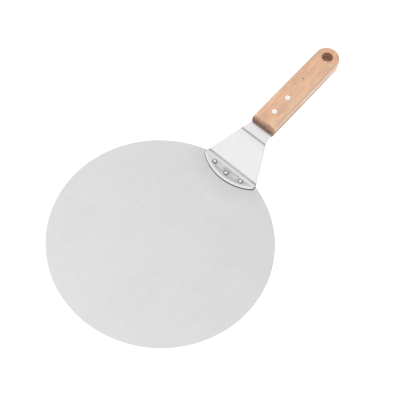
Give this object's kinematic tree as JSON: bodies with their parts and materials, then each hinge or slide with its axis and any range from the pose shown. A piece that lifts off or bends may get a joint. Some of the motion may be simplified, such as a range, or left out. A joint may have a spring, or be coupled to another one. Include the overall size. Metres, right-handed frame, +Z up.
{
  "type": "pizza peel",
  "caption": "Round flat steel pizza peel whose cranked, riveted bracket carries a straight wooden handle with a rounded end and a hanging hole.",
  "frame": {"origin": "centre of the round blade on its underside, which lies on the table", "axes": "+X from the blade's centre towards the handle, +Z up, square to the blade; the part is symmetric across Y"},
  "size_m": [0.4383, 0.254, 0.0547],
  "materials": {
    "blade_steel": "satin",
    "bracket_steel": "satin",
    "rivet_steel": "polished",
    "handle_wood": "smooth sanded, lightly sealed",
    "pin_aluminium": "flush sanded"
  },
  "bodies": {
    "root": {"blade": "blade_steel", "bracket": "bracket_steel", "blade_rivet_left": "rivet_steel", "blade_rivet_middle": "rivet_steel", "blade_rivet_right": "rivet_steel", "handle": "handle_wood", "front_rivet_socket": "pin_aluminium", "front_rivet_pin": "pin_aluminium", "rear_rivet_socket": "pin_aluminium", "rear_rivet_pin": "pin_aluminium"}
  },
  "joints": []
}
